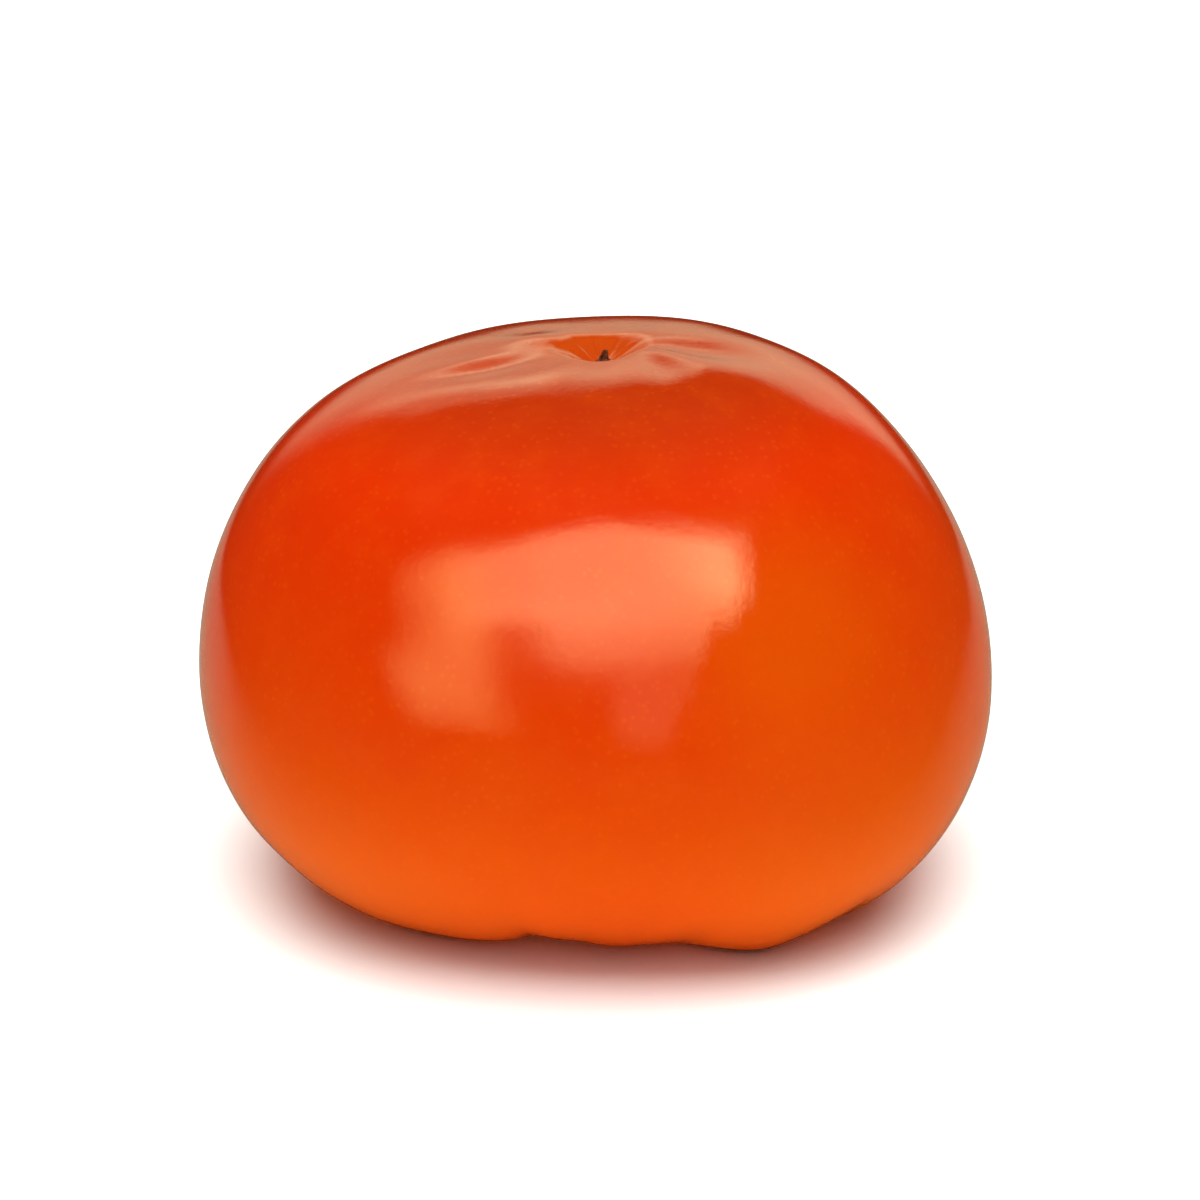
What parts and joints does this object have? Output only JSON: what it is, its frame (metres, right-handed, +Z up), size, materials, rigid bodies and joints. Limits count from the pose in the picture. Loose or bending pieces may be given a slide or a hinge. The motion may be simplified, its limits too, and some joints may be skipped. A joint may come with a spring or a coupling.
{
  "type": "persimmon",
  "caption": "Ripe squat orange persimmon standing stem end down, with its leafy calyx and cut stalk stub in the hollow under it and a dry style remnant in the top dimple",
  "frame": {"origin": "on the surface that the fruit stands on, under the middle of its box", "axes": "+Z up, from the stem end to the blossom end; the picture looks along +Y, a little down, with +X to its right"},
  "size_m": [0.0878, 0.0878, 0.0609],
  "materials": {
    "skin": "smooth waxy skin, deep orange, soft gloss",
    "calyx": "leathery drying sepals, olive with brown margins, matt",
    "stalk": "woody brown bark with a pale cut end, matt",
    "remnant": "dry dark brown, matt"
  },
  "bodies": {
    "root": {"fruit": "skin", "calyx": "calyx", "stem_stub": "stalk", "style_remnant": "remnant"}
  },
  "joints": []
}
